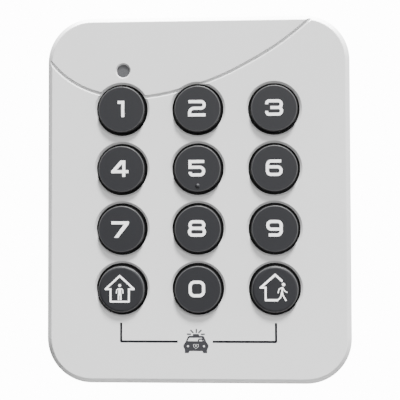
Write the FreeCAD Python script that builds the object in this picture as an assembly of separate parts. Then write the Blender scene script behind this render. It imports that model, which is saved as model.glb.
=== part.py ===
import FreeCAD, Part
import math
import os
from FreeCAD import Vector

# Alarm keypad panel: a wall plate, and a keypad unit that hangs on its top bars and swings down onto it.
# Millimetres. X is right, Z is up and the front faces -Y. The wall is the plane y = 0, and depths below
# are distances in front of the wall. The origin is the centre of the wall face.

WIDTH = 94.6
HEIGHT = 114.3
DEPTH = 22.0
CORNER = 14.0
WALL = 2.0
REAR_EDGE = 1.0
EDGE_BEVEL = 1.5
EDGE_SOFT = 0.45
REAR_BEVEL = 1.5

KEY_COLUMNS = 3
KEY_ROWS = 4
KEY_PITCH_X = 23.7
KEY_PITCH_Z = 18.6
KEY_NAMES = ["1", "2", "3", "4", "5", "6", "7", "8", "9", "stay", "0", "away"]
KEY_BASE_R = 7.35
KEY_DRAFT = 0.15
KEY_PROUD = 1.55
KEY_EDGE = 0.35
ARM_KEY_EDGE = 0.9
KEY_GAP = 0.7
KEY_TRAVEL = 1.0
KEY_SKIN = 1.3
WELL_CHAMFER = 0.65
WELL_CHAMFER_DEPTH = 0.55
FLANGE_OVER = 0.75
FLANGE_T = 1.0
FLANGE_GAP = 0.3
GUIDE_WIDTH = 1.1
GUIDE_GAP = 0.3
DOT_R = 0.75
DOT_HEIGHT = 0.35
DOT_DROP = 5.4

BOARD_T = 1.6
BOARD_EDGE_GAP = 3.0
PAD_T = 0.1
PAD_R = 2.4
MAT_T = 1.0
MAT_MARGIN = 9.2
DOME_BASE_R = 5.6
DOME_HUB_R = 3.4
DOME_WALL = 0.8
PILL_R = 2.0
PILL_T = 0.6
CONTACT_GAP = 0.1
SEAT_GAP = 0.05

BOSS_R = 2.5
BOSS_BORE_R = 1.0
SCREW_R = 0.95
SCREW_HEAD_R = 2.1
SCREW_HEAD_T = 1.4
SCREW_BITE = 3.6
CORNER_BOSS_IN = 8.5

LED_X = 0.35 - KEY_PITCH_X
LED_ABOVE_KEY = 12.35
LENS_R = 2.0
LENS_GAP = 0.06
LENS_SUNK = 0.6
LENS_CHAMFER = 0.4
LENS_COLLAR = 0.6

PLATE_T = 2.0
PLATE_GAP = 0.4
PLATE_TOP_GAP = 1.1
PLATE_LIP = 1.2
PLATE_LIP_RISE = 2.0
WALL_HOLE_R = 2.25
WALL_HOLE_SPACING = 83.3
POCKET_DEPTH = 0.7
POCKET_RIB = 3.0
POCKET_SPINE = 11.0
POCKET_RIM = 5.0
POCKET_CORNER = 3.0
POCKET_ROWS = 3
SCREW_PAD_R = 6.0
SCREW_PAD_T = 0.8

HINGE_DEPTH = 2.2
HINGE_BELOW_TOP = 3.65
HINGE_BAR_R = 1.0
HINGE_CLEARANCE = 0.06
HINGE_FROM_SIDE = 19.3
CLAW_WIDTH = 7.0
CLAW_R = 2.2
CLAW_LIP = 0.5
EAR_R = 1.25
EAR_T = 2.4
NOTCH_GAP = 0.5

LATCH_WIDTH = 8.0
LATCH_T = 0.45
LATCH_DEPTH = 6.2
LEDGE_REACH = 1.3
LEDGE_T = 1.2
LATCH_GAP = 0.3

CELL_R = 5.15
CELL_LENGTH = 43.3
CELL_NUB_R = 1.9
CELL_NUB = 1.0
CELL_PITCH = 12.4
CELL_CLEAR = 0.35
TRAY_WALL = 1.2
TRAY_FLOOR_GAP = 0.25

TAMPER_X = 31.0
TAMPER_Z = -30.0
TAMPER_SIZE = 7.0
TAMPER_RISE = 6.3
PLUNGER_R = 1.5
PLUNGER_CLEARANCE = 0.08
PLUNGER_OUT = 1.2
PLUNGER_GAP = 0.35
PLUNGER_WIRE = 0.15

GROOVE_WIDTH = 1.3
GROOVE_DEPTH = 0.55
GROOVE_UPPER = 0.25
GROOVE_LOWER = 0.55
GROOVE_OVER = 0.6
# Points of the styling line, as shares of the half width and the half height.
GROOVE_THROUGH = [(-1.068, 0.840), (-0.968, 0.745), (-0.887, 0.678), (-0.805, 0.632), (-0.669, 0.584),
                  (-0.476, 0.556), (-0.325, 0.560), (-0.165, 0.584), (0.115, 0.656), (0.354, 0.752),
                  (0.592, 0.877), (0.711, 0.957), (0.808, 1.025)]

RIB_Z = 20.0
RIB_T = 1.0
RIB_REACH = 1.6
RIB_START = 6.0
RIB_X = 34.0
RIB_RISE = 0.7
LATCH_FOOT_UP = 4.35
LATCH_RIVET_R = 0.9
SLOT_WIDTH = 7.0
SLOT_HEIGHT = 2.2

CELL_END = 3.0
CONTACT_T = 0.3
SPRING_R = 2.3
SPRING_WIRE = 0.25
SPRING_TURNS = 3
PEG_R = 0.9
TRAY_PEGS = [(-21.0, 0.0), (21.0, 0.0)]

CHIP_AT = (18.0, 33.0)
CHIP_SIZE = 10.0
CHIP_LEGS = 11
CHIP_PITCH = 0.8
SHIELD_AT = (-18.0, 33.0)
ANTENNA_AT = (30.0, 46.5)
ANTENNA_BEND = 1.5
ANTENNA_RISE = 3.4
ANTENNA_WIRE = 0.4
ANTENNA_LENGTH = 58.0

# Sizes and depths that follow from the ones above.
KEY_TOP_R = KEY_BASE_R - KEY_DRAFT
LED_Z = (KEY_ROWS - 1) / 2 * KEY_PITCH_Z + LED_ABOVE_KEY
HINGE_X = WIDTH / 2 - HINGE_FROM_SIDE
BOARD_WIDTH = WIDTH - 2 * (WALL + BOARD_EDGE_GAP)
BOARD_HEIGHT = HEIGHT - 2 * (WALL + BOARD_EDGE_GAP)
BOARD_CORNER = CORNER - WALL - BOARD_EDGE_GAP
CORNER_BOSS_X = WIDTH / 2 - WALL - CORNER_BOSS_IN
CORNER_BOSS_Z = HEIGHT / 2 - WALL - CORNER_BOSS_IN
FACE = DEPTH
WALL_INSIDE = DEPTH - WALL
KEY_TOP = DEPTH + KEY_PROUD
FLANGE_TOP = WALL_INSIDE - FLANGE_GAP
FLANGE_BOTTOM = FLANGE_TOP - FLANGE_T
HUB_TOP = FLANGE_BOTTOM - SEAT_GAP
BOARD_FRONT = 15.4
BOARD_BACK = BOARD_FRONT - BOARD_T
PAD_TOP = BOARD_FRONT + PAD_T
PILL_REAR = PAD_TOP + CONTACT_GAP + KEY_TRAVEL
PILL_FRONT = PILL_REAR + PILL_T
HINGE_Z = HEIGHT / 2 - HINGE_BELOW_TOP
WELL_R = KEY_BASE_R + KEY_GAP
FLANGE_R = WELL_R + FLANGE_OVER
PLATE_WIDTH = WIDTH - 2 * (WALL + PLATE_GAP)
PLATE_BOTTOM = -(HEIGHT / 2 - WALL - PLATE_GAP)
PLATE_TOP = HEIGHT / 2 - WALL - PLATE_TOP_GAP
LATCH_FOOT_Z = PLATE_BOTTOM + LATCH_FOOT_UP
CELL_DEPTH = BOARD_BACK - TRAY_FLOOR_GAP - CELL_R


def box(x0, x1, z0, z1, d0, d1):
    return Part.makeBox(x1 - x0, d1 - d0, z1 - z0, Vector(x0, -d1, z0))


def disc(x, z, r, d0, d1):
    return Part.makeCylinder(r, d1 - d0, Vector(x, -d0, z), Vector(0, -1, 0))


def cone(x, z, r0, r1, d0, d1):
    return Part.makeCone(r0, r1, d1 - d0, Vector(x, -d0, z), Vector(0, -1, 0))


def bar(x0, x1, z, d, r):
    return Part.makeCylinder(r, x1 - x0, Vector(x0, -d, z), Vector(1, 0, 0))


def slab(width, height, corner, d0, d1, x=0.0, z=0.0):
    """Rounded rectangle, with its corners about Y."""
    block = box(x - width / 2, x + width / 2, z - height / 2, z + height / 2, d0, d1)
    return block.makeFillet(corner, edges_along(block, "y"))


def join(shapes):
    out = shapes[0]
    for s in shapes[1:]:
        out = out.fuse(s)
    return out.removeSplitter()


def edges_at(shape, depth):
    """The edges that lie wholly in the plane at this depth."""
    return [e for e in shape.Edges
            if abs(e.BoundBox.YMin + depth) < 1e-6 and abs(e.BoundBox.YMax + depth) < 1e-6]


def edges_along(shape, axis):
    """The straight or curved edges that start out along this axis, "x", "y" or "z"."""
    return [e for e in shape.Edges if abs(getattr(e.tangentAt(e.FirstParameter), axis)) > 0.99]


def key_places():
    """Name, X and Z of each key, left to right and top to bottom."""
    out = []
    for i, name in enumerate(KEY_NAMES):
        column = i % KEY_COLUMNS
        row = i // KEY_COLUMNS
        x = (column - (KEY_COLUMNS - 1) / 2) * KEY_PITCH_X
        z = ((KEY_ROWS - 1) / 2 - row) * KEY_PITCH_Z
        out.append((name, x, z))
    return out


def boss_places():
    """Screw bosses: one near each corner, and one in the middle of each outer group of four keys."""
    near = [(sx * KEY_PITCH_X / 2, sz * KEY_PITCH_Z) for sx in (-1, 1) for sz in (-1, 1)]
    far = [(sx * CORNER_BOSS_X, sz * CORNER_BOSS_Z) for sx in (-1, 1) for sz in (-1, 1)]
    return near + far


def coil(x, y, z, r, wire, height, turns, direction):
    """Round-wire spring about a line through (x, y, z): half turns, tilted to and fro."""
    rise = height / turns / 2
    tilt = math.degrees(math.atan2(rise / 2, r))
    halves = []
    for i in range(2 * turns):
        half = Part.makeTorus(math.hypot(r, rise / 2), wire, Vector(), Vector(0, 0, 1), 0, 360, 180)
        half.rotate(Vector(), Vector(0, 1, 0), tilt)
        half.rotate(Vector(), Vector(0, 0, 1), 180 * (i % 2))
        half.translate(Vector(0, 0, (i + 0.5) * rise))
        halves.append(half)
    spring = join(halves)
    spring.Placement = FreeCAD.Placement(Vector(x, y, z), FreeCAD.Rotation(Vector(0, 0, 1), direction))
    return spring


def make_groove():
    """Styling line, one sweep from the left edge to the top edge: steep above, gentle below."""
    points = [Vector(x * WIDTH / 2, -FACE, z * HEIGHT / 2) for x, z in GROOVE_THROUGH]
    curve = Part.BSplineCurve()
    curve.interpolate(points)
    start = curve.value(curve.FirstParameter)
    side = curve.tangent(curve.FirstParameter)[0].cross(Vector(0, 1, 0))
    side.normalize()
    half = GROOVE_WIDTH / 2
    out = Vector(0, -GROOVE_OVER, 0)
    floor = Vector(0, GROOVE_DEPTH, 0)
    widen = GROOVE_OVER / GROOVE_DEPTH
    corners = [
        start + out + side * (half + GROOVE_UPPER * widen),
        start + floor + side * (half - GROOVE_UPPER),
        start + floor - side * (half - GROOVE_LOWER),
        start + out - side * (half + GROOVE_LOWER * widen),
    ]
    section = Part.makePolygon(corners + corners[:1])
    return Part.Wire([curve.toShape()]).makePipeShell([section], True, False)


def make_front_cover():
    cover = slab(WIDTH, HEIGHT, CORNER, REAR_EDGE, FACE)
    cover = cover.makeChamfer(EDGE_BEVEL, edges_at(cover, FACE))
    cover = cover.makeFillet(EDGE_SOFT, edges_at(cover, FACE))
    inside = slab(WIDTH - 2 * WALL, HEIGHT - 2 * WALL, CORNER - WALL, 0, WALL_INSIDE)
    cover = cover.cut(inside)
    wedge = Part.Face(Part.makePolygon([
        Vector(-WIDTH, 1 - REAR_EDGE, HEIGHT / 2 - REAR_BEVEL - 1),
        Vector(-WIDTH, 1 - REAR_EDGE, HEIGHT / 2 + 1),
        Vector(-WIDTH, -REAR_EDGE - REAR_BEVEL - 1, HEIGHT / 2 + 1),
        Vector(-WIDTH, 1 - REAR_EDGE, HEIGHT / 2 - REAR_BEVEL - 1),
    ])).extrude(Vector(2 * WIDTH, 0, 0))
    cover = cover.cut(wedge)
    wells = []
    for name, x, z in key_places():
        wells.append(disc(x, z, WELL_R, WALL_INSIDE - 1, FACE + 1))
        wells.append(cone(x, z, WELL_R, WELL_R + WELL_CHAMFER, FACE - WELL_CHAMFER_DEPTH, FACE))
    wells.append(disc(LED_X, LED_Z, LENS_R + LENS_GAP, WALL_INSIDE - 1, FACE + 1))
    wells.append(cone(LED_X, LED_Z, LENS_R + LENS_GAP, LENS_R + LENS_GAP + LENS_CHAMFER,
                      FACE - LENS_CHAMFER, FACE))
    cover = cover.cut(Part.makeCompound(wells))
    added = []
    for x, z in boss_places():
        added.append(disc(x, z, BOSS_R, BOARD_FRONT, WALL_INSIDE + 0.2))
    for name, x, z in key_places():
        for side in (-1, 1):
            a = x + side * (WELL_R + 0.15)
            b = x + side * (FLANGE_R + GUIDE_GAP + 0.3)
            added.append(box(min(a, b), max(a, b), z - GUIDE_WIDTH / 2, z + GUIDE_WIDTH / 2,
                             FLANGE_BOTTOM - KEY_TRAVEL, WALL_INSIDE + 0.2))
    for side in (-1, 1):
        for z in (-RIB_Z, RIB_Z):
            a = side * (WIDTH / 2 - WALL - RIB_REACH)
            b = side * (WIDTH / 2 - WALL + 0.2)
            added.append(box(min(a, b), max(a, b), z - RIB_T / 2, z + RIB_T / 2,
                             RIB_START, WALL_INSIDE + 0.2))
    for side in (-1, 1):
        added.append(make_claw(side * HINGE_X))
    ledge_top = -(HEIGHT / 2 - WALL - LEDGE_REACH)
    added.append(box(-LATCH_WIDTH / 2 - 1, LATCH_WIDTH / 2 + 1, -(HEIGHT / 2 - WALL + 0.2), ledge_top,
                     LATCH_DEPTH - LATCH_GAP - LEDGE_T, LATCH_DEPTH - LATCH_GAP))
    cover = join([cover] + added)
    cuts = [release_slot()]
    for x, z in boss_places():
        cuts.append(disc(x, z, BOSS_BORE_R, BOARD_FRONT - 1, BOARD_FRONT + SCREW_BITE + 0.4))
    cover = cover.cut(Part.makeCompound(cuts))
    return cover.cut(make_groove())


def release_slot():
    """Slot through the bottom wall, in line with the latch, for a flat blade."""
    half = SLOT_WIDTH / 2 - SLOT_HEIGHT / 2
    depth = LATCH_DEPTH + LATCH_T + SLOT_HEIGHT / 2
    z0 = -(HEIGHT / 2 + 1)
    ends = [Part.makeCylinder(SLOT_HEIGHT / 2, WALL + 2, Vector(s * half, -depth, z0), Vector(0, 0, 1))
            for s in (-1, 1)]
    middle = box(-half, half, z0, z0 + WALL + 2, depth - SLOT_HEIGHT / 2, depth + SLOT_HEIGHT / 2)
    return join(ends + [middle])


def make_claw(x):
    """Open hook on the cover's top wall. It wraps over a bar of the wall plate and opens to the wall."""
    x0 = x - CLAW_WIDTH / 2
    x1 = x + CLAW_WIDTH / 2
    hook = bar(x0, x1, HINGE_Z, HINGE_DEPTH, CLAW_R)
    link = box(x0, x1, HINGE_Z, HEIGHT / 2 - WALL + 0.2, HINGE_DEPTH - CLAW_LIP, HINGE_DEPTH + CLAW_R)
    rear = box(x0 - 1, x1 + 1, HINGE_Z - 2 * CLAW_R, HINGE_Z + 2 * CLAW_R, -1, HINGE_DEPTH - CLAW_LIP)
    bore = bar(x0 - 1, x1 + 1, HINGE_Z, HINGE_DEPTH, HINGE_BAR_R + HINGE_CLEARANCE)
    return join([hook, link]).cut(rear).cut(bore)


def make_wall_plate():
    height = PLATE_TOP - PLATE_BOTTOM
    middle = (PLATE_TOP + PLATE_BOTTOM) / 2
    corner = CORNER - WALL - PLATE_GAP
    plate = slab(PLATE_WIDTH, height, corner, 0, PLATE_T + PLATE_LIP_RISE, 0, middle)
    hollow = slab(PLATE_WIDTH - 2 * PLATE_LIP, height - 2 * PLATE_LIP, corner - PLATE_LIP,
                  PLATE_T, PLATE_T + PLATE_LIP_RISE + 1, 0, middle)
    plate = plate.cut(hollow)
    half = CLAW_WIDTH / 2 + NOTCH_GAP
    pads = [disc(0, s * WALL_HOLE_SPACING / 2, SCREW_PAD_R, PLATE_T - 0.2, PLATE_T + SCREW_PAD_T)
            for s in (-1, 1)]
    notches = []
    for s in (-1, 1):
        x = s * HINGE_X
        notches.append(box(x - half, x + half, HINGE_Z - CLAW_R - 2 * NOTCH_GAP, HEIGHT, -1,
                           PLATE_T + PLATE_LIP_RISE + 1))
        pads.append(bar(x - half - EAR_T, x + half + EAR_T, HINGE_Z, HINGE_DEPTH, HINGE_BAR_R))
        for side in (-1, 1):
            a = x + side * half
            b = x + side * (half + EAR_T)
            pads.append(bar(min(a, b), max(a, b), HINGE_Z, HINGE_DEPTH, EAR_R))
            pads.append(box(min(a, b), max(a, b), HINGE_Z - EAR_R - 1.2, HINGE_Z, PLATE_T - 0.2,
                            HINGE_DEPTH + EAR_R))
    for s in (-1, 1):
        a = s * RIB_X
        pads.append(box(a - RIB_T / 2, a + RIB_T / 2, PLATE_BOTTOM + 0.5, PLATE_TOP - 9.0,
                        PLATE_T - 0.2, PLATE_T + RIB_RISE))
    plate = plate.cut(Part.makeCompound(notches))
    plate = join([plate] + pads)
    holes = [disc(0, s * WALL_HOLE_SPACING / 2, WALL_HOLE_R, -1, PLATE_T + SCREW_PAD_T + 1) for s in (-1, 1)]
    holes.append(disc(0, LATCH_FOOT_Z, LATCH_RIVET_R + 0.05, PLATE_T - 1.0, PLATE_T + 1))
    return plate.cut(Part.makeCompound(holes + rear_pockets()))


def rear_pockets():
    """Shallow pockets in the wall face, either side of a spine that carries the screw holes."""
    top = HINGE_Z - CLAW_R - 2 * NOTCH_GAP - POCKET_RIM
    bottom = PLATE_BOTTOM + POCKET_RIM
    height = (top - bottom - (POCKET_ROWS - 1) * POCKET_RIB) / POCKET_ROWS
    width = (PLATE_WIDTH - 2 * POCKET_RIM - POCKET_SPINE) / 2
    out = []
    for side in (-1, 1):
        for row in range(POCKET_ROWS):
            z = bottom + height / 2 + row * (height + POCKET_RIB)
            x = side * (POCKET_SPINE + width) / 2
            out.append(slab(width, height, POCKET_CORNER, -1, POCKET_DEPTH, x, z))
    return out


def make_latch():
    """Bent spring strip: a foot on the plate, a riser, and a hook over the cover's ledge."""
    t = LATCH_T
    outer = PLATE_T
    front = LATCH_DEPTH + t
    rise_z = PLATE_BOTTOM + PLATE_LIP + 0.4
    tip_z = -(HEIGHT / 2 - WALL - LEDGE_REACH) - 0.7
    half = LATCH_WIDTH / 2
    foot = box(-half, half, rise_z, LATCH_FOOT_Z + 2.2, outer, outer + t)
    riser = box(-half, half, rise_z, rise_z + t, outer, front)
    hook = box(-half, half, tip_z, rise_z + t, LATCH_DEPTH, front)
    rivet = disc(0, LATCH_FOOT_Z, LATCH_RIVET_R, PLATE_T - 0.9, outer + t)
    head = disc(0, LATCH_FOOT_Z, LATCH_RIVET_R * 2, outer + t, outer + 2 * t)
    strip = join([foot, riser, hook])
    inner = [e for e in edges_along(strip, "x") if abs(e.BoundBox.ZMin - (rise_z + t)) < 1e-6]
    strip = strip.makeFillet(t * 0.9, inner)
    return join([strip, rivet, head])


def make_keycap(name, x, z):
    body = cone(x, z, KEY_BASE_R, KEY_TOP_R, FLANGE_TOP, KEY_TOP)
    edge = ARM_KEY_EDGE if name in ("stay", "away") else KEY_EDGE
    body = body.makeFillet(edge, edges_at(body, KEY_TOP))
    flange = disc(x, z, FLANGE_R, FLANGE_BOTTOM, FLANGE_TOP)
    slots = []
    for side in (-1, 1):
        a = x + side * (WELL_R + 0.15 - GUIDE_GAP)
        b = x + side * (FLANGE_R + 1)
        half = GUIDE_WIDTH / 2 + GUIDE_GAP
        slots.append(box(min(a, b), max(a, b), z - half, z + half, FLANGE_BOTTOM - 1, FLANGE_TOP + 1))
    flange = flange.cut(Part.makeCompound(slots))
    cap = body.fuse(flange)
    ceiling = KEY_TOP - KEY_SKIN
    cap = cap.cut(disc(x, z, KEY_TOP_R - 1.2, FLANGE_BOTTOM - 1, ceiling))
    post = disc(x, z, DOME_HUB_R - 0.6, FLANGE_BOTTOM, ceiling + 0.2)
    ribs = [post]
    for k in range(2):
        rib = box(x - KEY_TOP_R + 0.8, x + KEY_TOP_R - 0.8, z - 0.4, z + 0.4, FLANGE_TOP, ceiling + 0.2)
        rib.rotate(Vector(x, 0, z), Vector(0, 1, 0), 90 * k)
        ribs.append(rib)
    cap = join([cap] + ribs)
    if name == "5":
        ball_r = (DOT_R ** 2 + DOT_HEIGHT ** 2) / (2 * DOT_HEIGHT)
        dot = Part.makeSphere(ball_r, Vector(x, -(KEY_TOP + DOT_HEIGHT - ball_r), z - DOT_DROP))
        keep = disc(x, z - DOT_DROP, DOT_R + 0.05, KEY_TOP - 0.3, KEY_TOP + 1)
        cap = join([cap, dot.common(keep)])
    return cap


def make_membrane():
    """One silicone mat: a web on the board, with a hollow dome and a hub under each key."""
    width = (KEY_COLUMNS - 1) * KEY_PITCH_X + 2 * MAT_MARGIN
    height = (KEY_ROWS - 1) * KEY_PITCH_Z + 2 * MAT_MARGIN
    web = slab(width, height, 5.0, BOARD_FRONT, BOARD_FRONT + MAT_T)
    shoulder = HUB_TOP - 1.0
    raised = [web]
    hollow = []
    base_r = DOME_BASE_R - DOME_WALL
    hub_r = DOME_HUB_R - DOME_WALL / 2
    for name, x, z in key_places():
        raised.append(cone(x, z, DOME_BASE_R, DOME_HUB_R, BOARD_FRONT + MAT_T, shoulder))
        raised.append(disc(x, z, DOME_HUB_R, shoulder, HUB_TOP))
        hollow.append(cone(x, z, base_r, hub_r, BOARD_FRONT, PILL_FRONT))
    mat = join(raised)
    for x, z in boss_places()[:4]:
        hollow.append(disc(x, z, BOSS_R + 0.3, BOARD_FRONT - 1, BOARD_FRONT + MAT_T + 1))
    return mat.cut(Part.makeCompound(hollow))


def make_pill(x, z):
    return disc(x, z, PILL_R, PILL_REAR, PILL_FRONT)


def make_board():
    board = slab(BOARD_WIDTH, BOARD_HEIGHT, BOARD_CORNER, BOARD_BACK, BOARD_FRONT)
    holes = [disc(x, z, SCREW_R + 0.25, BOARD_BACK - 1, BOARD_FRONT + 1) for x, z in boss_places()]
    for dx, dz in TRAY_PEGS:
        holes.append(disc(dx, dz, PEG_R + 0.05, BOARD_BACK - 1, BOARD_FRONT + 1))
    return board.cut(Part.makeCompound(holes))


def make_pads():
    """Interleaved carbon fingers under each key: two combs that do not touch."""
    pads = []
    for name, x, z in key_places():
        for side in (-1, 1):
            spine = box(x + side * PAD_R - 0.3, x + side * PAD_R + 0.3, z - PAD_R, z + PAD_R,
                        BOARD_FRONT, PAD_TOP)
            comb = [spine]
            for k in range(3):
                zf = z + (k - 1) * 1.6 + side * 0.4
                a = x + side * PAD_R
                b = x - side * (PAD_R - 0.6)
                comb.append(box(min(a, b), max(a, b), zf - 0.2, zf + 0.2, BOARD_FRONT, PAD_TOP))
            pads.append(join(comb))
    return Part.makeCompound(pads)


def make_screws():
    screws = []
    for x, z in boss_places():
        head = disc(x, z, SCREW_HEAD_R, BOARD_BACK - SCREW_HEAD_T, BOARD_BACK)
        head = head.makeFillet(0.4, edges_at(head, BOARD_BACK - SCREW_HEAD_T))
        shank = disc(x, z, SCREW_R, BOARD_BACK - 0.1, BOARD_FRONT + SCREW_BITE)
        crown = BOARD_BACK - SCREW_HEAD_T
        cross = [box(x - a, x + a, z - b, z + b, crown - 1, crown + 0.7)
                 for a, b in ((1.25, 0.25), (0.25, 1.25))]
        screws.append(join([head, shank]).cut(join(cross)))
    return Part.makeCompound(screws)


def make_led():
    base = box(LED_X - 1.5, LED_X + 1.5, LED_Z - 1.3, LED_Z + 1.3, BOARD_FRONT, BOARD_FRONT + 0.9)
    dome = disc(LED_X, LED_Z, 1.1, BOARD_FRONT + 0.8, BOARD_FRONT + 1.6)
    dome = dome.makeFillet(0.5, edges_at(dome, BOARD_FRONT + 1.6))
    return join([base, dome])


def make_lens():
    """Light pipe: it stands just below the face, and a collar holds it behind the wall."""
    rod = disc(LED_X, LED_Z, LENS_R, BOARD_FRONT + 2.0, FACE - LENS_SUNK)
    collar = disc(LED_X, LED_Z, LENS_R + LENS_COLLAR, WALL_INSIDE - SEAT_GAP - 1.2, WALL_INSIDE - SEAT_GAP)
    return join([rod, collar])


def make_tray():
    """Two-cell holder on the rear of the board: side walls, end walls, a rail between the cells."""
    length = CELL_LENGTH + CELL_NUB + 2 * CELL_END
    inner_x = length / 2
    inner_z = CELL_PITCH / 2 + CELL_R + CELL_CLEAR
    rim = CELL_DEPTH - 1.0
    outer = box(-inner_x - TRAY_WALL, inner_x + TRAY_WALL, -inner_z - TRAY_WALL, inner_z + TRAY_WALL,
                rim, BOARD_BACK)
    space = box(-inner_x, inner_x, -inner_z, inner_z, rim - 1, BOARD_BACK + 1)
    tray = outer.cut(space)
    rail = box(-inner_x - 0.2, inner_x + 0.2, -0.35, 0.35, CELL_DEPTH + 1.5, BOARD_BACK)
    parts = [tray, rail]
    for s in (-1, 1):
        rest = box(s * CELL_LENGTH / 4 - 1, s * CELL_LENGTH / 4 + 1, -inner_z - 0.2, inner_z + 0.2,
                   CELL_DEPTH + 3.0, BOARD_BACK)
        for sz in (-1, 1):
            rest = rest.cut(bar(-inner_x, inner_x, sz * CELL_PITCH / 2, CELL_DEPTH, CELL_R + CELL_CLEAR / 2))
        parts.append(rest)
    for dx, dz in TRAY_PEGS:
        parts.append(disc(dx, dz, PEG_R, BOARD_BACK - 0.5, BOARD_FRONT - 0.2))
    tray = join(parts)
    windows = []
    for s in (-1, 1):
        windows.append(box(-CELL_LENGTH / 5, CELL_LENGTH / 5, s * inner_z - 2 * TRAY_WALL,
                           s * inner_z + 2 * TRAY_WALL, rim - 1, CELL_DEPTH + 1.0))
    return tray.cut(Part.makeCompound(windows))


def make_cell(z, turn):
    """Cell along X. turn is +1 when its button points to +X."""
    start = -turn * (CELL_LENGTH / 2 + CELL_NUB / 2)
    way = Vector(turn, 0, 0)
    can = Part.makeCylinder(CELL_R, CELL_LENGTH, Vector(start, -CELL_DEPTH, z), way)
    ends = [e for e in can.Edges if e.BoundBox.XLength < 1e-6]
    can = can.makeFillet(0.5, ends)
    nub = Part.makeCylinder(CELL_NUB_R, CELL_NUB + 0.2,
                            Vector(start + turn * (CELL_LENGTH - 0.2), -CELL_DEPTH, z), way)
    return join([can, nub])


def cell_rows():
    return [(CELL_PITCH / 2, 1), (-CELL_PITCH / 2, -1)]


def make_cell_springs():
    """A coil between the flat end of each cell and its end plate."""
    reach = CELL_END - CONTACT_T - 2 * SEAT_GAP - 2 * SPRING_WIRE
    base = CELL_LENGTH / 2 + CELL_NUB / 2 + CELL_END - CONTACT_T - SEAT_GAP - SPRING_WIRE
    coils = []
    for z, turn in cell_rows():
        way = Vector(turn, 0, 0)
        coils.append(coil(-turn * base, -CELL_DEPTH, z, SPRING_R, SPRING_WIRE, reach, SPRING_TURNS, way))
    return Part.makeCompound(coils)


def make_cell_contacts():
    """Nickel end plates: one under each spring, and one in front of each button."""
    plates = []
    inner = CELL_LENGTH / 2 + CELL_NUB / 2 + CELL_END - SEAT_GAP / 2
    for z, turn in cell_rows():
        for end in (-1, 1):
            a = end * inner
            b = end * (inner - CONTACT_T)
            plate = box(min(a, b), max(a, b), z - 4.0, z + 4.0, CELL_DEPTH - 0.5, BOARD_BACK - 0.2)
            tab = box(min(a, b), max(a, b), z - 0.6, z + 0.6, BOARD_BACK - 0.4, BOARD_BACK - 0.02)
            plates.append(join([plate, tab]))
    return Part.makeCompound(plates)


def make_tamper_housing():
    half = TAMPER_SIZE / 2
    rear = BOARD_BACK - TAMPER_RISE
    case = box(TAMPER_X - half, TAMPER_X + half, TAMPER_Z - half, TAMPER_Z + half, rear, BOARD_BACK)
    case = case.makeFillet(0.6, edges_along(case, "y"))
    bore = disc(TAMPER_X, TAMPER_Z, PLUNGER_R + PLUNGER_CLEARANCE, rear - 1, BOARD_BACK - 1.0)
    pocket = disc(TAMPER_X, TAMPER_Z, PLUNGER_R + 1.0, rear + 1.2, BOARD_BACK - 1.0)
    return case.cut(bore).cut(pocket)


def make_plunger():
    """Pressed by the plate when the panel is closed. A collar keeps it in the housing."""
    rear = PLATE_T + PLUNGER_GAP
    mouth = BOARD_BACK - TAMPER_RISE + 1.2
    rod = disc(TAMPER_X, TAMPER_Z, PLUNGER_R, rear, mouth + PLUNGER_OUT + 1.2)
    rod = rod.makeFillet(0.5, edges_at(rod, rear))
    collar = disc(TAMPER_X, TAMPER_Z, PLUNGER_R + 0.7, mouth + PLUNGER_OUT + 0.1, mouth + PLUNGER_OUT + 0.9)
    return join([rod, collar])


def make_tamper_spring():
    mouth = BOARD_BACK - TAMPER_RISE + 1.2
    start = mouth + PLUNGER_OUT + 1.2 + 0.3
    end = BOARD_BACK - 1.0 - 0.3
    return coil(TAMPER_X, -start, TAMPER_Z, PLUNGER_R - 0.3, PLUNGER_WIRE, end - start, SPRING_TURNS,
                Vector(0, -1, 0))


def make_chip():
    """Square controller with gull-wing legs on four sides."""
    x0, z0 = CHIP_AT
    half = CHIP_SIZE / 2
    body = box(x0 - half, x0 + half, z0 - half, z0 + half, BOARD_BACK - 1.5, BOARD_BACK - 0.15)
    legs = []
    for turn in range(4):
        for k in range(CHIP_LEGS):
            z = z0 + (k - (CHIP_LEGS - 1) / 2) * CHIP_PITCH
            leg = box(x0 + half - 0.2, x0 + half + 0.9, z - 0.18, z + 0.18, BOARD_BACK - 0.22, BOARD_BACK)
            leg.rotate(Vector(x0, 0, z0), Vector(0, 1, 0), 90 * turn)
            legs.append(leg)
    return join([body] + legs)


def make_shield():
    """Folded can over the radio, open to the board."""
    x0, z0 = SHIELD_AT
    can = box(x0 - 8, x0 + 8, z0 - 7, z0 + 7, BOARD_BACK - 2.4, BOARD_BACK)
    can = can.makeFillet(0.5, edges_along(can, "y"))
    can = can.makeFillet(0.3, edges_at(can, BOARD_BACK - 2.4))
    return can.cut(box(x0 - 7.75, x0 + 7.75, z0 - 6.75, z0 + 6.75, BOARD_BACK - 2.15, BOARD_BACK + 1))


def make_antenna():
    """Whip of round wire: a foot in the board, a bend, and a straight run along the top edge."""
    x0, z0 = ANTENNA_AT
    r = ANTENNA_BEND
    d = BOARD_BACK - ANTENNA_RISE
    middle = Vector(x0 - r * (1 - math.sqrt(0.5)), -(d + r * (1 - math.sqrt(0.5))), z0)
    turn = Part.Arc(Vector(x0, -(d + r), z0), middle, Vector(x0 - r, -d, z0)).toShape()
    foot = Part.makeLine(Vector(x0, -BOARD_BACK, z0), Vector(x0, -(d + r), z0))
    run = Part.makeLine(Vector(x0 - r, -d, z0), Vector(x0 - ANTENNA_LENGTH, -d, z0))
    ring = Part.Wire([Part.Circle(Vector(x0, -BOARD_BACK, z0), Vector(0, 1, 0), ANTENNA_WIRE).toShape()])
    return Part.Wire([foot, turn, run]).makePipeShell([ring], True, True)


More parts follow.
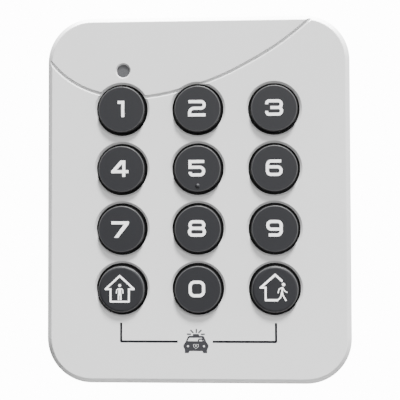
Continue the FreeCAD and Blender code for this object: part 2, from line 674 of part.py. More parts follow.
def make_small_parts():
    """Chip resistors and capacitors in two rows beside the controller, and a crystal can."""
    out = []
    x0, z0 = CHIP_AT
    for row in (-1, 1):
        for k in range(5):
            x = x0 + (k - 2) * 2.6
            z = z0 + row * (CHIP_SIZE / 2 + 3.0)
            out.append(box(x - 0.4, x + 0.4, z - 0.8, z + 0.8, BOARD_BACK - 0.55, BOARD_BACK))
    crystal = box(x0 + 10.0, x0 + 13.2, z0 - 5.0, z0 + 5.0, BOARD_BACK - 3.0, BOARD_BACK)
    crystal = crystal.makeFillet(1.5, edges_along(crystal, "y"))
    out.append(crystal)
    return Part.makeCompound(out)


os.makedirs("parts", exist_ok=True)
nodes = {
    "wall_plate": make_wall_plate(),
    "latch_spring": make_latch(),
    "front_cover": make_front_cover(),
    "keypad_membrane": make_membrane(),
    "circuit_board": make_board(),
    "key_contact_pads": make_pads(),
    "board_screws": make_screws(),
    "led_emitter": make_led(),
    "led_lens": make_lens(),
    "battery_holder": make_tray(),
    "battery_upper": make_cell(*cell_rows()[0]),
    "battery_lower": make_cell(*cell_rows()[1]),
    "battery_springs": make_cell_springs(),
    "battery_contacts": make_cell_contacts(),
    "tamper_housing": make_tamper_housing(),
    "tamper_plunger": make_plunger(),
    "tamper_spring": make_tamper_spring(),
    "antenna_wire": make_antenna(),
    "radio_shield": make_shield(),
    "controller_chip": make_chip(),
    "small_parts": make_small_parts(),
}
for name, x, z in key_places():
    nodes["keycap_" + name] = make_keycap(name, x, z)
    nodes["contact_pill_" + name] = make_pill(x, z)
for name, shape in nodes.items():
    if not shape.isValid() or not shape.Solids:
        raise ValueError(name + " is not a valid solid")
    shape.exportStep("parts/" + name + ".step")
    print(name, len(shape.Solids), round(shape.Volume, 1))
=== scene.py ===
import math

import bmesh
import bpy
from mathutils import Matrix, Vector
from mathutils.geometry import delaunay_2d_cdt, tessellate_polygon


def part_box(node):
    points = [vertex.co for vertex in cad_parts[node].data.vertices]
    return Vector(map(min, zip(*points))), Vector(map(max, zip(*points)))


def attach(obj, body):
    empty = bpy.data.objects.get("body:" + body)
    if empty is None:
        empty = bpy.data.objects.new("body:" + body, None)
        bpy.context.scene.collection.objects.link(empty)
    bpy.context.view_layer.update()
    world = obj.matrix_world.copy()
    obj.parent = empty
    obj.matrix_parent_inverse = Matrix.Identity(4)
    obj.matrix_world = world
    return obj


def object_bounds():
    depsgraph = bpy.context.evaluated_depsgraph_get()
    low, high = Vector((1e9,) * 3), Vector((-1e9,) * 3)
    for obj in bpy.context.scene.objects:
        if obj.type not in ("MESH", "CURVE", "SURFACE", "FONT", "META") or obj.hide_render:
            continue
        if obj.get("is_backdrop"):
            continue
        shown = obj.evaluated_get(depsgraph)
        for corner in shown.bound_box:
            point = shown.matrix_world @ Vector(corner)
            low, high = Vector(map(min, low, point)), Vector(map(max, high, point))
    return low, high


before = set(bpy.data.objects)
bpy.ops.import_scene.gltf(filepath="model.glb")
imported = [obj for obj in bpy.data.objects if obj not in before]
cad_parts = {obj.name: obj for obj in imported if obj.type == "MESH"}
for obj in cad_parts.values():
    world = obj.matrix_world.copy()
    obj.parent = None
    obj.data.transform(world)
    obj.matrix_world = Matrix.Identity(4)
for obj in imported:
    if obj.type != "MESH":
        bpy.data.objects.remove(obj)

# Looks for the alarm keypad panel. Metres, in the CAD frame: X right, Z up, the front faces -Y.

CAD_LOW, CAD_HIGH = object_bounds()
MM = 0.001
SCENE = bpy.context.scene
KEY_ORDER = ["1", "2", "3", "4", "5", "6", "7", "8", "9", "stay", "0", "away"]
FACE_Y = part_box("front_cover")[0].y
KEY_TOP_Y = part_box("keycap_1")[0].y


# ---------------------------------------------------------------- materials

# Linear colours.
COVER_GREY = (0.560, 0.562, 0.562)
PLATE_GREY = (0.520, 0.521, 0.518)
KEY_GREY = (0.0092, 0.0095, 0.0113)
# Painted highlight: the paler colour of the line round a key's rim, where its edge catches the
# light.
KEY_RIM_HIGHLIGHT = (0.0480, 0.0485, 0.0500)
# Painted shade: the darker colour of a key's skirt outside the rim line, as in shadow.
KEY_SKIRT_SHADE = (0.0022, 0.0022, 0.0026)
MASK_DARK = (0.010, 0.085, 0.040)
MASK_PALE = (0.014, 0.110, 0.052)
TRACK_GREEN = (0.030, 0.185, 0.085)
SLEEVE_DARK = (0.020, 0.022, 0.028)
SLEEVE_PALE = (0.030, 0.032, 0.040)
COPPER_DARK = (0.42, 0.20, 0.09)
COPPER_PALE = (0.52, 0.26, 0.12)
CELL_STEEL = (0.62, 0.61, 0.58)
LENS_MIDDLE = (0.078, 0.079, 0.083)
LENS_EDGE = (0.050, 0.051, 0.055)
SILICONE_DARK = (0.30, 0.31, 0.33)
SILICONE_PALE = (0.34, 0.35, 0.37)

# The painted highlight line round the rim of a key's top: its radius, and half its width before it
# fades. Outside it the skirt gets painted shade.
RIM_R = 6.99 * MM
RIM_HALF = 0.08 * MM
# The copper band of a cell starts between these distances from the cell's middle.
BAND_FROM, BAND_TO = 0.0102, 0.0104
# A cell's surface is bare steel where this much of its normal is along the cell.
END_FROM, END_TO = 0.55, 0.75

# A noise runs mostly between these values, so ramps and spreads use them as their ends.
NOISE_LOW, NOISE_HIGH = 0.3, 0.7
NOISE_ROUGHNESS = 0.55
# Sockets of the Mix node when it mixes colours: several share one name, so they go by number.
MIX_FACTOR, MIX_COLOUR_A, MIX_COLOUR_B, MIX_COLOUR_OUT = 0, 6, 7, 2


class Look:
    """One procedural material: a Principled shader and the few nodes that feed it."""

    def __init__(self, name, rough=0.5, metallic=0.0, specular=0.5):
        self.mat = bpy.data.materials.new(name)
        self.mat.use_nodes = True
        self.tree = self.mat.node_tree
        self.shader = self.tree.nodes["Principled BSDF"]
        self.shader.inputs["Roughness"].default_value = rough
        self.shader.inputs["Metallic"].default_value = metallic
        self.shader.inputs["Specular IOR Level"].default_value = specular
        self.coords = self.tree.nodes.new("ShaderNodeTexCoord").outputs["Object"]
        self.height = None

    def node(self, kind, **values):
        node = self.tree.nodes.new(kind)
        for key, value in values.items():
            if key in node.inputs:
                node.inputs[key].default_value = value
            else:
                setattr(node, key, value)
        return node

    def link(self, a, b):
        self.tree.links.new(a, b)

    def noise(self, size, detail=2.0, stretch=(1, 1, 1)):
        """Noise with features about this size, in metres."""
        mapping = self.node("ShaderNodeMapping")
        mapping.inputs["Scale"].default_value = [s / size for s in stretch]
        self.link(self.coords, mapping.inputs["Vector"])
        noise = self.node("ShaderNodeTexNoise", Scale=1.0, Detail=detail, Roughness=NOISE_ROUGHNESS)
        self.link(mapping.outputs["Vector"], noise.inputs["Vector"])
        return noise.outputs["Fac"]

    def cells(self, size):
        """Distance to the middle of the nearest cell, with cells of about this size, in metres."""
        voronoi = self.node("ShaderNodeTexVoronoi", Scale=1.0 / size)
        self.link(self.coords, voronoi.inputs["Vector"])
        return voronoi.outputs["Distance"]

    def axis(self, letter):
        split = self.node("ShaderNodeSeparateXYZ")
        self.link(self.coords, split.inputs["Vector"])
        return split.outputs[letter]

    def ramp(self, fac, stops):
        """Colours blended in a line between stops of (place, colour)."""
        ramp = self.node("ShaderNodeValToRGB")
        table = ramp.color_ramp.elements
        while len(table) < len(stops):
            table.new(0.5)
        for element, (place, colour) in zip(table, stops):
            element.position = place
            element.color = (*colour, 1.0)
        self.link(fac, ramp.inputs["Fac"])
        return ramp.outputs["Color"]

    def spread(self, fac, low, high, new_low, new_high):
        """The range low to high, mapped to new_low to new_high."""
        spread = self.node("ShaderNodeMapRange")
        for key, value in (("From Min", low), ("From Max", high),
                           ("To Min", new_low), ("To Max", new_high)):
            spread.inputs[key].default_value = value
        self.link(fac, spread.inputs["Value"])
        return spread.outputs["Result"]

    def mix(self, fac, a, b):
        """Colour a where fac is 0 and b where it is 1. Each is a colour or a socket."""
        mix = self.node("ShaderNodeMix", data_type="RGBA")
        self.link(fac, mix.inputs[MIX_FACTOR])
        for value, socket in ((a, mix.inputs[MIX_COLOUR_A]), (b, mix.inputs[MIX_COLOUR_B])):
            if isinstance(value, tuple):
                socket.default_value = (*value, 1.0)
            else:
                self.link(value, socket)
        return mix.outputs[MIX_COLOUR_OUT]

    def colour(self, source):
        self.link(source, self.shader.inputs["Base Color"])

    def rough(self, source):
        self.link(source, self.shader.inputs["Roughness"])

    def bump(self, height, distance, strength):
        """A bump on top of the ones before it."""
        bump = self.node("ShaderNodeBump", Distance=distance, Strength=strength)
        self.link(height, bump.inputs["Height"])
        if self.height is not None:
            self.link(self.height, bump.inputs["Normal"])
        self.height = bump.outputs["Normal"]
        self.link(self.height, self.shader.inputs["Normal"])


def shade(colour, factor):
    return tuple(c * factor for c in colour)


def two_tone(look, noise, dark, pale):
    """A tone that drifts between dark and pale with the noise."""
    return look.ramp(noise, [(NOISE_LOW, dark), (NOISE_HIGH, pale)])


def key_painted_rim_light(look, base):
    """The base colour, a paler line of painted highlight around the rim of the top, and a skirt
    darkened with painted shade.
    """
    low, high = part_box("keycap_1")
    size = Vector((high.x - low.x, 0, high.z - low.z))
    place = look.node("ShaderNodeVectorMath", operation="MULTIPLY_ADD")
    place.inputs[1].default_value = size
    place.inputs[2].default_value = -size / 2
    look.link(look.node("ShaderNodeTexCoord").outputs["Generated"], place.inputs[0])
    radius = look.node("ShaderNodeVectorMath", operation="LENGTH")
    look.link(place.outputs["Vector"], radius.inputs[0])
    off = look.node("ShaderNodeMath", operation="SUBTRACT")
    off.inputs[1].default_value = RIM_R
    look.link(radius.outputs["Value"], off.inputs[0])
    away = look.node("ShaderNodeMath", operation="ABSOLUTE")
    look.link(off.outputs[0], away.inputs[0])
    # Painted highlight: 1 on a thin line at the rim's radius, fading to 0 either side.
    rim = look.spread(away.outputs[0], RIM_HALF, 2 * RIM_HALF, 1.0, 0.0)
    # Painted shade: 1 on the skirt outside the rim line, 0 inside it.
    skirt = look.spread(off.outputs[0], RIM_HALF, 2 * RIM_HALF, 0.0, 1.0)
    return look.mix(skirt, look.mix(rim, base, KEY_RIM_HIGHLIGHT), KEY_SKIRT_SHADE)


def moulded(name, colour, rough, grain, depth, drift, specular=0.5, painted_light=None):
    """Moulded plastic: an even etched grain, a slow drift of tone, and gloss to suit the grain."""
    look = Look(name, rough, specular=specular)
    base = two_tone(look, look.noise(0.03), shade(colour, 1 - drift), shade(colour, 1 + drift))
    # painted_light, where given, paints highlight and shade into the base colour.
    look.colour(painted_light(look, base) if painted_light else base)
    fine = look.noise(grain, 3.0)
    look.bump(fine, depth, 0.5)
    look.bump(look.noise(0.006, 1.0), depth * 0.5, 0.2)
    look.rough(look.spread(fine, NOISE_LOW, NOISE_HIGH, rough - 0.05, rough + 0.05))
    return look.mat


def metal(name, colour, rough, stretch=(1, 1, 1), size=0.0004):
    """Plated or drawn metal: grain of this size, and shorter along an axis with more stretch."""
    look = Look(name, rough, metallic=1.0)
    lines = look.noise(size, 3.0, stretch)
    look.colour(two_tone(look, lines, shade(colour, 0.86), colour))
    look.rough(look.spread(lines, NOISE_LOW, NOISE_HIGH, rough - 0.07, rough + 0.1))
    look.bump(lines, 4e-6, 0.4)
    return look.mat


def ink(name, colour, rough=0.5, specular=0.3):
    """Screen print: a little uneven in tone, with a faint mesh in its surface."""
    look = Look(name, rough, specular=specular)
    look.colour(two_tone(look, look.noise(0.0009), shade(colour, 0.95), shade(colour, 1.03)))
    look.bump(look.cells(0.00012), 2e-6, 0.4)
    return look.mat


def board_look():
    """Green solder mask over glass weave, with paler tracks that run in steps across it."""
    look = Look("solder_mask", 0.32, specular=0.55)
    weave = look.node("ShaderNodeTexChecker", Scale=1600.0)
    look.link(look.coords, weave.inputs["Vector"])
    # The brick pattern lies in X and Y, so it is turned to lie along the board.
    turned = look.node("ShaderNodeMapping", Rotation=(math.radians(90), 0, 0))
    look.link(look.coords, turned.inputs["Vector"])
    tracks = look.node("ShaderNodeTexBrick", Scale=1.0)
    for key, value in (("Brick Width", 0.0105), ("Row Height", 0.0022),
                       ("Mortar Size", 0.00016), ("Mortar Smooth", 0.1)):
        tracks.inputs[key].default_value = value
    look.link(turned.outputs["Vector"], tracks.inputs["Vector"])
    mask = look.ramp(look.noise(0.004), [(0.35, MASK_DARK), (0.65, MASK_PALE)])
    look.colour(look.mix(tracks.outputs["Fac"], mask, TRACK_GREEN))
    look.bump(tracks.outputs["Fac"], 2e-5, 0.4)
    look.bump(weave.outputs["Fac"], 3e-6, 0.35)
    look.bump(look.noise(0.0006), 4e-6, 0.3)
    return look.mat


def cell_look(name, turn):
    """Cell jacket: a dark sleeve, bare steel ends, and a copper band at the button end.

    turn is 1 where that end is towards +X, and -1 where it is towards -X.
    """
    look = Look(name, 0.28, specular=0.6)
    band = look.spread(look.axis("X"), BAND_FROM * turn, BAND_TO * turn, 0.0, 1.0)
    sleeve = two_tone(look, look.noise(0.002), SLEEVE_DARK, SLEEVE_PALE)
    copper = two_tone(look, look.noise(0.0015), COPPER_DARK, COPPER_PALE)
    geometry = look.node("ShaderNodeNewGeometry")
    split = look.node("ShaderNodeSeparateXYZ")
    look.link(geometry.outputs["Normal"], split.inputs["Vector"])
    flat = look.node("ShaderNodeMath", operation="ABSOLUTE")
    look.link(split.outputs["X"], flat.inputs[0])
    end = look.spread(flat.outputs[0], END_FROM, END_TO, 0.0, 1.0)
    look.colour(look.mix(end, look.mix(band, sleeve, copper), CELL_STEEL))
    look.link(end, look.shader.inputs["Metallic"])
    look.bump(look.noise(0.0008), 3e-6, 0.3)
    return look.mat


def lens_look():
    """Smoked light pipe: cloudy, with a fine diffusing pattern behind its face."""
    look = Look("lens_smoked", 0.30, specular=0.5)
    facets = look.cells(0.00045)
    look.colour(look.ramp(facets, [(0.0, LENS_MIDDLE), (0.8, LENS_EDGE)]))
    look.shader.inputs["Transmission Weight"].default_value = 0.15
    look.shader.inputs["IOR"].default_value = 1.49
    look.bump(facets, 1.5e-5, 0.5)
    return look.mat


def silicone_look():
    """Silicone rubber: slightly cloudy, with a fine matt skin."""
    look = Look("silicone", 0.62, specular=0.35)
    look.colour(two_tone(look, look.noise(0.01), SILICONE_DARK, SILICONE_PALE))
    look.shader.inputs["Subsurface Weight"].default_value = 0.1
    look.shader.inputs["Subsurface Radius"].default_value = (MM, MM, MM)
    look.bump(look.noise(0.0005), 8e-6, 0.5)
    return look.mat


LOOKS = {
    "cover": moulded("cover_abs", COVER_GREY, 0.46, 0.00028, 1.4e-5, 0.012),
    "plate": moulded("plate_abs", PLATE_GREY, 0.55, 0.0004, 2.2e-5, 0.03),
    # The keys' colour holds a painted highlight on the rim of their tops and painted shade on their
    # skirts.
    "key": moulded("key_abs", KEY_GREY, 0.50, 0.00022, 9e-6, 0.04, specular=0.28, painted_light=key_painted_rim_light),
    "digit": ink("digit_ink", (0.84, 0.84, 0.84)),
    "symbol": ink("symbol_ink", (0.93, 0.93, 0.93)),
    "dark": ink("dark_ink", (0.006, 0.006, 0.008), 0.65, 0.10),
    "car": ink("car_ink", (0.026, 0.026, 0.029), 0.65, 0.10),
    "silicone": silicone_look(),
    "carbon": moulded("carbon_ink", (0.012, 0.012, 0.013), 0.7, 0.0003, 1.5e-5, 0.1),
    "board": board_look(),
    "steel": metal("zinc_screw", (0.62, 0.62, 0.64), 0.34),
    "spring": metal("spring_steel", (0.66, 0.66, 0.68), 0.26, (4, 1, 1), 0.0008),
    "nickel": metal("nickel_plate", (0.70, 0.68, 0.63), 0.28),
    "tin": metal("tin_can", (0.66, 0.67, 0.68), 0.36, (1, 1, 6), 0.002),
    "copper": metal("copper_wire", (0.70, 0.36, 0.20), 0.33),
    "led": moulded("led_resin", (0.72, 0.66, 0.42), 0.2, 0.0005, 4e-6, 0.03),
    "lens": lens_look(),
    "black": moulded("black_abs", (0.022, 0.022, 0.024), 0.5, 0.0004, 2e-5, 0.08),
    "white": moulded("white_pom", (0.70, 0.70, 0.67), 0.42, 0.0005, 8e-6, 0.02),
    "chip": moulded("chip_resin", (0.018, 0.018, 0.020), 0.6, 0.0002, 1.2e-5, 0.12),
    "cell_upper": cell_look("cell_jacket_upper", 1),
    "cell_lower": cell_look("cell_jacket_lower", -1),
}
NODE_LOOKS = {
    "front_cover": "cover",
    "wall_plate": "plate",
    "latch_spring": "spring",
    "keypad_membrane": "silicone",
    "circuit_board": "board",
    "key_contact_pads": "carbon",
    "board_screws": "steel",
    "led_emitter": "led",
    "led_lens": "lens",
    "battery_holder": "black",
    "battery_upper": "cell_upper",
    "battery_lower": "cell_lower",
    "battery_springs": "spring",
    "battery_contacts": "nickel",
    "tamper_housing": "black",
    "tamper_plunger": "white",
    "tamper_spring": "spring",
    "antenna_wire": "copper",
    "radio_shield": "tin",
    "controller_chip": "chip",
    "small_parts": "chip",
}
for key in KEY_ORDER:
    NODE_LOOKS["keycap_" + key] = "key"
    NODE_LOOKS["contact_pill_" + key] = "carbon"
for name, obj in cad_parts.items():
    obj.data.materials.clear()
    obj.data.materials.append(LOOKS[NODE_LOOKS[name]])


# ---------------------------------------------------------------- printed marks

# In this section lengths are in millimetres, and a path is a list of (x, z, corner radius).
ARC_STEPS = 8
DISC_STEPS = 28
# Ink goes this far into the surface below it, and stands this far off it.
INK_SUNK = 0.010
INK_PROUD = 0.020
# At a corner of a stroke the unit normals of its two sides are added. Where the square of that
# sum's length is under this, the corner is cut short, so that it makes no spike.
MITRE_LIMIT = 0.4
# Points nearer than SAME_POINT on a path are one point, and so are those nearer than WELD in a
# merged sheet. A triangle is left out if twice its area is under NO_AREA.
SAME_POINT = 1e-6
WELD = 1e-5
NO_AREA = 1e-6


def rounded(points, closed):
    """The path's points, with each corner turned into an arc."""
    out = []
    count = len(points)
    for i, (x, z, r) in enumerate(points):
        here = Vector((x, z))
        if r <= 0 or (not closed and i in (0, count - 1)):
            out.append(here)
            continue
        back = Vector(points[i - 1][:2]) - here
        on = Vector(points[(i + 1) % count][:2]) - here
        back.normalize()
        on.normalize()
        half = back.angle(on) / 2
        reach = r / math.tan(half)
        centre = here + (back + on).normalized() * (r / math.sin(half))
        first = here + back * reach - centre
        last = here + on * reach - centre
        turn = first.angle_signed(last)
        for k in range(ARC_STEPS + 1):
            out.append(centre + Matrix.Rotation(-turn * k / ARC_STEPS, 2) @ first)
    return [p for i, p in enumerate(out) if i == 0 or (p - out[i - 1]).length > SAME_POINT]


def triangles(*loops):
    """The area between these loops, as triangles of points."""
    points = [p for loop in loops for p in loop]
    numbers = tessellate_polygon([[p.to_3d() for p in loop] for loop in loops])
    return [[points[k] for k in tri] for tri in numbers]


def stroke(width, points, closed=False):
    """A line of this width along the path, as triangles of points."""
    path = rounded(points, closed)
    count = len(path)
    sides = []
    for i, here in enumerate(path):
        steps = []
        if closed or i > 0:
            steps.append((here - path[i - 1]).normalized())
        if closed or i < count - 1:
            steps.append((path[(i + 1) % count] - here).normalized())
        lean = Vector((0, 0))
        for step in steps:
            lean += Vector((-step.y, step.x))
        lean *= width / 2 * len(steps) / max(lean.length_squared, MITRE_LIMIT)
        sides.append((here + lean, here - lean))
    out = []
    for i in range(count if closed else count - 1):
        (a, b), (c, d) = sides[i], sides[(i + 1) % count]
        out += [[a, b, d], [a, d, c]]
    return out


def disc(x, z, r):
    """A circle, as a loop of points."""
    turns = [2 * math.pi * k / DISC_STEPS for k in range(DISC_STEPS)]
    return [Vector((x + r * math.cos(a), z + r * math.sin(a))) for a in turns]


def polygon(points, *holes):
    """The inside of the closed path without its holes, which are loops, as triangles of points."""
    return triangles(rounded(points, True), *holes)


def mirrored(points):
    """The path, then its mirror image about the line x = 0."""
    return points + [(-x, z, r) for x, z, r in reversed(points) if x != 0]


def merged(shapes):
    """One flat sheet that covers all the shapes: its points, and triangles of their numbers."""
    points = []
    faces = []
    for shape in shapes:
        for tri in shape:
            turn = (tri[1] - tri[0]).cross(tri[2] - tri[0])
            if abs(turn) > NO_AREA:
                faces.append([len(points), len(points) + 1, len(points) + 2])
                points += tri if turn > 0 else tri[::-1]
    points, _, faces, _, _, covered_by = delaunay_2d_cdt(points, [], faces, 1, WELD)
    return points, [face for face, sources in zip(faces, covered_by) if sources]


def ink_piece(name, shapes, x, z, y, body, look):
    """Prints the shapes about (x, z) as one piece of raised ink. x, y and z are in metres."""
    points, faces = merged(shapes)
    bm = bmesh.new()
    back = [bm.verts.new((p.x, INK_SUNK, p.y)) for p in points]
    front = [bm.verts.new((p.x, -INK_PROUD, p.y)) for p in points]
    sides = {(f[k], f[(k + 1) % 3]) for f in faces for k in range(3)}
    for f in faces:
        bm.faces.new([front[k] for k in f])
        bm.faces.new([back[k] for k in reversed(f)])
    for a, b in sorted(sides):
        if (b, a) not in sides:
            bm.faces.new([front[b], front[a], back[a], back[b]])
    bmesh.ops.delete(bm, geom=[v for v in bm.verts if not v.link_faces], context="VERTS")
    bmesh.ops.recalc_face_normals(bm, faces=bm.faces)
    bm.transform(Matrix.Translation((x, y, z)) @ Matrix.Scale(MM, 4))
    mesh = bpy.data.meshes.new(name)
    bm.to_mesh(mesh)
    bm.free()
    mesh.materials.append(LOOKS[look])
    obj = bpy.data.objects.new(name, mesh)
    SCENE.collection.objects.link(obj)
    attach(obj, body)


# Digits: wide squared figures about the middle of their key, with bars at z = BAR, 0 and -BAR.
BAR = 2.07
THICK = 0.92
BEND = 1.02
TOP = BAR + THICK / 2
GLYPHS = {
    "1": [stroke(THICK, [(-0.98, BAR, 0), (0.62, BAR, 0), (0.62, -TOP, 0)])],
    "2": [stroke(THICK, [(-2.60, BAR, 0), (2.28, BAR, BEND), (2.28, 0, BEND),
                         (-2.28, 0, 1.35), (-2.28, -BAR, 0), (2.66, -BAR, 0)])],
    "3": [stroke(THICK, [(-2.14, 1.05, 0), (-2.14, BAR, 0.75), (2.36, BAR, BEND),
                         (2.36, 0, BEND), (-1.00, 0, 0)]),
          stroke(THICK, [(1.20, 0, 0), (2.42, 0, BEND), (2.42, -BAR, BEND),
                         (-2.14, -BAR, 0.75), (-2.14, -1.05, 0)])],
    "4": [polygon([(-0.10, TOP, 0), (1.40, TOP, 0), (1.40, -0.46, 0), (2.38, -0.46, 0),
                   (2.38, -1.38, 0), (1.40, -1.38, 0), (1.40, -TOP, 0), (0.48, -TOP, 0),
                   (0.48, -1.38, 0), (-2.98, -1.38, 0), (-2.98, -0.72, 0)],
                  rounded([(0.48, 1.50, 0), (-1.38, -0.46, 0), (0.48, -0.46, 0)], True))],
    "5": [stroke(THICK, [(2.18, BAR, 0), (-2.18, BAR, 0), (-2.18, 0.28, 0), (2.04, 0.28, 1.15),
                         (2.04, -BAR, 1.15), (-2.12, -BAR, 0.75), (-2.12, -1.15, 0)])],
    "6": [stroke(THICK, [(2.20, BAR, 0), (-2.02, BAR, 1.2), (-2.02, -BAR, 1.1),
                         (2.16, -BAR, 1.1), (2.16, 0.28, 1.1), (-2.00, 0.28, 0)])],
    "7": [polygon([(-2.92, TOP, 0), (2.52, TOP, 0), (2.52, 1.70, 0.2), (-0.78, -TOP, 0),
                   (-2.06, -TOP, 0), (1.02, BAR - THICK / 2, 0), (-2.92, BAR - THICK / 2, 0)])],
    "8": [stroke(THICK, [(-2.22, 0.03, BEND), (-2.22, BAR, BEND), (2.04, BAR, BEND),
                         (2.04, 0.03, BEND)], True),
          stroke(THICK, [(-2.40, -BAR, BEND), (-2.40, 0, BEND), (2.22, 0, BEND),
                         (2.22, -BAR, BEND)], True)],
    "9": [stroke(THICK, [(-1.70, -BAR, 0), (2.10, -BAR, 1.2), (2.10, BAR, 1.1),
                         (-2.00, BAR, 1.1), (-2.00, -0.28, 1.1), (2.00, -0.28, 0)])],
    "0": [stroke(THICK, [(-2.20, -BAR, 1.3), (-2.20, BAR, 1.3), (1.90, BAR, 1.3),
                         (1.90, -BAR, 1.3)], True)],
}
# Prints sit a little left of the centre of their keys, and above it but for the 7.
PRINT_LEFT = 0.16
DIGIT_RISE = 0.13
SEVEN_RISE = -0.14
SYMBOL_RISE = 0.28

# Arming symbols: a house with a standing figure, and an open one with a walking figure.
ARM = 0.30
BODY = 0.50
LEG = 0.42
house = mirrored([(0, 4.24, 0.2), (5.12, -0.50, 0.30), (3.14, -0.50, 0), (3.14, -4.34, 0.4)])
room = mirrored([(0, 3.42, 0.1), (3.76, 0.02, 0), (2.58, 0.02, 0), (2.58, -3.82, 0.1)])
legs = [(0.44, 0, 0.1), (0.46, -1.4, 0), (0.56, -2.0, 0), (0.56, -3.60, 0), (0.14, -3.60, 0),
        (0.14, -2.2, 0)]
SYMBOLS = {
    "stay": [
        polygon(house, rounded(room, True)),
        triangles(disc(0, 0.90, 0.44)),
        stroke(ARM, mirrored([(-1.02, -1.56, 0), (-0.90, -0.12, 0.6)])),
        polygon(mirrored(legs)),
    ],
    "away": [
        polygon([(2.60, 2.40, 0.1), (0.17, 4.62, 0.2), (-5.12, -0.04, 0.30), (-3.04, -0.04, 0),
                 (-3.04, -3.88, 0.4), (0.98, -3.88, 0), (1.06, -3.24, 0), (-2.46, -3.24, 0.1),
                 (-2.46, 0.56, 0), (-3.50, 0.56, 0), (0.17, 3.74, 0), (2.16, 1.94, 0.1)]),
        triangles(disc(2.72, 1.24, 0.50)),
        stroke(BODY, [(2.36, 0.34, 0), (2.24, -1.36, 0)]),
        stroke(LEG, [(2.20, -1.06, 0), (1.80, -2.72, 0.8), (0.86, -3.62, 0)]),
        stroke(LEG, [(2.28, -1.06, 0), (2.50, -2.06, 0.6), (3.50, -3.78, 0)]),
        stroke(ARM, [(2.34, 0.40, 0), (1.26, -0.28, 0.4), (1.04, -1.44, 0)]),
        stroke(ARM, [(2.42, 0.40, 0), (3.00, -0.72, 0.5), (3.88, -1.28, 0)]),
    ],
}
# The standing figure's print sits further left than the others.
STAY_LEFT = 0.48

for key in KEY_ORDER:
    low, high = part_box("keycap_" + key)
    left = STAY_LEFT if key == "stay" else PRINT_LEFT
    if key in SYMBOLS:
        shapes, look, rise = SYMBOLS[key], "symbol", SYMBOL_RISE
    else:
        shapes, look, rise = GLYPHS[key], "digit", SEVEN_RISE if key == "7" else DIGIT_RISE
    x = (low.x + high.x) / 2 - left * MM
    z = (low.z + high.z) / 2 + rise * MM
    ink_piece("print_key_" + key, shapes, x, z, KEY_TOP_Y, "key_" + key, look)

# Below the keys: two bracket lines down from the outer columns, and a patrol car between them.
LINE = 0.68
RAY = 0.42
BRACKET_TOP = -38.32
BRACKET_Z = -44.12
BRACKET_X = 23.95
BRACKET_END_LEFT = -6.36
BRACKET_END_RIGHT = 4.44
# The car is drawn about x = 0 and then moved this far.
CAR_X = -0.72
CAR_Z = 0.28
# The badge's shield is the badge at this share of its size, about this height.
SHIELD_SHARE = 0.84
SHIELD_Z = -45.83
brackets = [
    stroke(LINE, [(x, BRACKET_TOP, 0), (x, BRACKET_Z, 0.1), (end, BRACKET_Z, 0)])
    for x, end in ((-BRACKET_X, BRACKET_END_LEFT), (BRACKET_X, BRACKET_END_RIGHT))
]
ink_piece("print_brackets", brackets, 0, 0, FACE_Y, "front_unit", "dark")
screen = rounded([(-2.62, -44.24, 0.15), (-2.06, -43.20, 0.3), (1.80, -43.20, 0.3),
                  (2.62, -44.24, 0.15)], True)
lamps = [disc(-2.46, -45.78, 0.31), disc(2.46, -45.78, 0.31)]
badge = [(-0.84, -45.15, 0.15), (0.84, -45.15, 0.15), (0.80, -45.98, 0.3), (0, -46.60, 0.1),
         (-0.80, -45.98, 0.3)]
shield = [(x * SHIELD_SHARE, SHIELD_Z + (z - SHIELD_Z) * SHIELD_SHARE, r) for x, z, r in badge]
half_car = [(-2.42, -42.60, 0.6), (-3.14, -44.35, 0.2), (-4.02, -45.60, 0.9), (-3.46, -46.95, 0.1),
            (-3.46, -47.92, 0.1), (-2.28, -47.92, 0.1), (-1.98, -47.28, 0)]
car = [
    polygon(mirrored(half_car), screen, *lamps, rounded(badge, True)),
    polygon(shield, disc(0, -45.70, 0.22)),
    stroke(0.40, [(0.74, -44.26, 0), (0.90, -43.62, 0.3), (2.02, -43.62, 0.3), (2.20, -44.26, 0)]),
    polygon(mirrored([(-0.86, -42.02, 0.1), (-1.12, -42.75, 0)])),
    stroke(RAY, [(0.12, -40.45, 0), (0.12, -41.72, 0)]),
]
for side in (-1, 1):
    car.append(stroke(RAY, [(side * 1.72, -40.80, 0), (side * 0.78, -41.72, 0)]))
    car.append(stroke(RAY, [(side * 2.78, -42.10, 0), (side * 1.50, -42.10, 0)]))
ink_piece("print_patrol_car", car, CAR_X * MM, CAR_Z * MM, FACE_Y, "front_unit", "car")


# ---------------------------------------------------------------- floor, light, camera

# The floor is solid out to one radius, gone at the other, and this far below the panel.
FLOOR_SOLID_R = 0.10
FLOOR_R = 0.26
FLOOR_DROP = 0.20
FLOOR_DARK = (0.37, 0.37, 0.37)
FLOOR_PALE = (0.39, 0.39, 0.39)
# The world is brightest in one direction, and dim where the cosine to it is below the edge.
WORLD_TOWARDS = (0.64, -0.30, 0.72)
WORLD_EDGE = -0.24
WORLD_DIM = 0.05
WORLD_BRIGHT = 2.95
# What the camera itself sees behind the panel.
BACKDROP = 14.0
SUN_STRENGTH = 14.4
SUN_ANGLE = 12.0
SUN_TOWARDS = (0.147, -0.366, 0.916)
STRIP_POWER = 1.6
STRIP_WIDTH = 0.16
STRIP_DEPTH = 0.03
STRIP_X = 0.01
STRIP_RISE = 0.06
# Turn, tilt and roll in degrees, and the place in millimetres from the middle of the face.
CAMERA_TURN = (2.72, -1.795, -0.165)
CAMERA_FROM_FACE = (12.70, -253.5, -8.31)
CAMERA_LENS = 73.62
CAMERA_SENSOR = 36.0


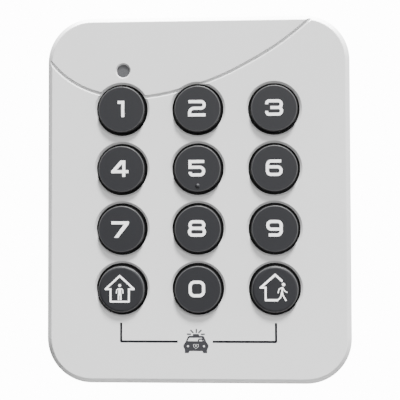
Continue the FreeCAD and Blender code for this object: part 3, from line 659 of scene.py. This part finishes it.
def make_floor():
    """Pale floor below the panel. It fades out with distance, so that no edge or horizon shows."""
    look = Look("studio_floor", 0.8, specular=0.2)
    look.colour(two_tone(look, look.noise(0.2), FLOOR_DARK, FLOOR_PALE))
    away = look.node("ShaderNodeVectorMath", operation="LENGTH")
    look.link(look.coords, away.inputs[0])
    solid = look.spread(away.outputs["Value"], FLOOR_SOLID_R, FLOOR_R, 1.0, 0.0)
    look.link(solid, look.shader.inputs["Alpha"])
    bm = bmesh.new()
    bmesh.ops.create_circle(bm, cap_ends=True, radius=FLOOR_R, segments=96)
    mesh = bpy.data.meshes.new("studio_floor")
    bm.to_mesh(mesh)
    bm.free()
    floor = bpy.data.objects.new("studio_floor", mesh)
    SCENE.collection.objects.link(floor)
    floor.location = (0, 0, CAD_LOW.z - FLOOR_DROP)
    mesh.materials.append(look.mat)
    floor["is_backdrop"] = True


def make_world():
    """White studio, with most of its light from the upper right and least from the lower left."""
    world = bpy.data.worlds.new("studio")
    SCENE.world = world
    world.use_nodes = True
    nodes = world.node_tree.nodes
    links = world.node_tree.links
    coords = nodes.new("ShaderNodeTexCoord")
    lean = nodes.new("ShaderNodeVectorMath")
    lean.operation = "DOT_PRODUCT"
    lean.inputs[1].default_value = Vector(WORLD_TOWARDS).normalized()
    links.new(coords.outputs["Generated"], lean.inputs[0])
    spread = nodes.new("ShaderNodeMapRange")
    for key, value in (("From Min", WORLD_EDGE), ("From Max", 1.0),
                       ("To Min", WORLD_DIM), ("To Max", WORLD_BRIGHT)):
        spread.inputs[key].default_value = value
    links.new(lean.outputs["Value"], spread.inputs["Value"])
    seen = nodes.new("ShaderNodeLightPath")
    swap = nodes.new("ShaderNodeMix")
    links.new(seen.outputs["Is Camera Ray"], swap.inputs["Factor"])
    links.new(spread.outputs["Result"], swap.inputs["A"])
    swap.inputs["B"].default_value = BACKDROP
    links.new(swap.outputs["Result"], nodes["Background"].inputs["Strength"])
    nodes["Background"].inputs["Color"].default_value = (1, 1, 1, 1)


def make_sun():
    """Key light from above, in front and a little to the right, which gives the keys' shadows."""
    data = bpy.data.lights.new("key_light", "SUN")
    data.energy = SUN_STRENGTH
    data.angle = math.radians(SUN_ANGLE)
    obj = bpy.data.objects.new("key_light", data)
    SCENE.collection.objects.link(obj)
    obj.rotation_mode = "QUATERNION"
    obj.rotation_quaternion = Vector(SUN_TOWARDS).to_track_quat("Z", "Y")


def make_strip():
    """Long soft box above the panel that points straight down at its top."""
    data = bpy.data.lights.new("top_light", "AREA")
    data.energy = STRIP_POWER
    data.shape = "RECTANGLE"
    data.size = STRIP_WIDTH
    data.size_y = STRIP_DEPTH
    obj = bpy.data.objects.new("top_light", data)
    SCENE.collection.objects.link(obj)
    obj.location = (STRIP_X, 0.0, CAD_HIGH.z + STRIP_RISE)
    obj.visible_camera = False


def make_camera():
    """The photograph's camera: nearly square on to the face, slightly from the right and below."""
    turn, tilt, roll = (math.radians(a) for a in CAMERA_TURN)
    level = math.cos(tilt)
    back = Vector((math.sin(turn) * level, -math.cos(turn) * level, math.sin(tilt)))
    level_right = (-back).cross(Vector((0, 0, 1))).normalized()
    level_up = level_right.cross(-back)
    right = math.cos(roll) * level_right + math.sin(roll) * level_up
    up = math.cos(roll) * level_up - math.sin(roll) * level_right
    data = bpy.data.cameras.new("camera")
    data.lens = CAMERA_LENS
    data.sensor_width = CAMERA_SENSOR
    data.clip_start = 0.01
    data.clip_end = 20.0
    camera = bpy.data.objects.new("camera", data)
    SCENE.collection.objects.link(camera)
    place = Matrix((right, up, back)).transposed().to_4x4()
    place.translation = Vector((0, FACE_Y, 0)) + Vector(CAMERA_FROM_FACE) * MM
    camera.matrix_world = place
    SCENE.camera = camera


make_floor()
make_world()
make_sun()
make_strip()
make_camera()

low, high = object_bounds()
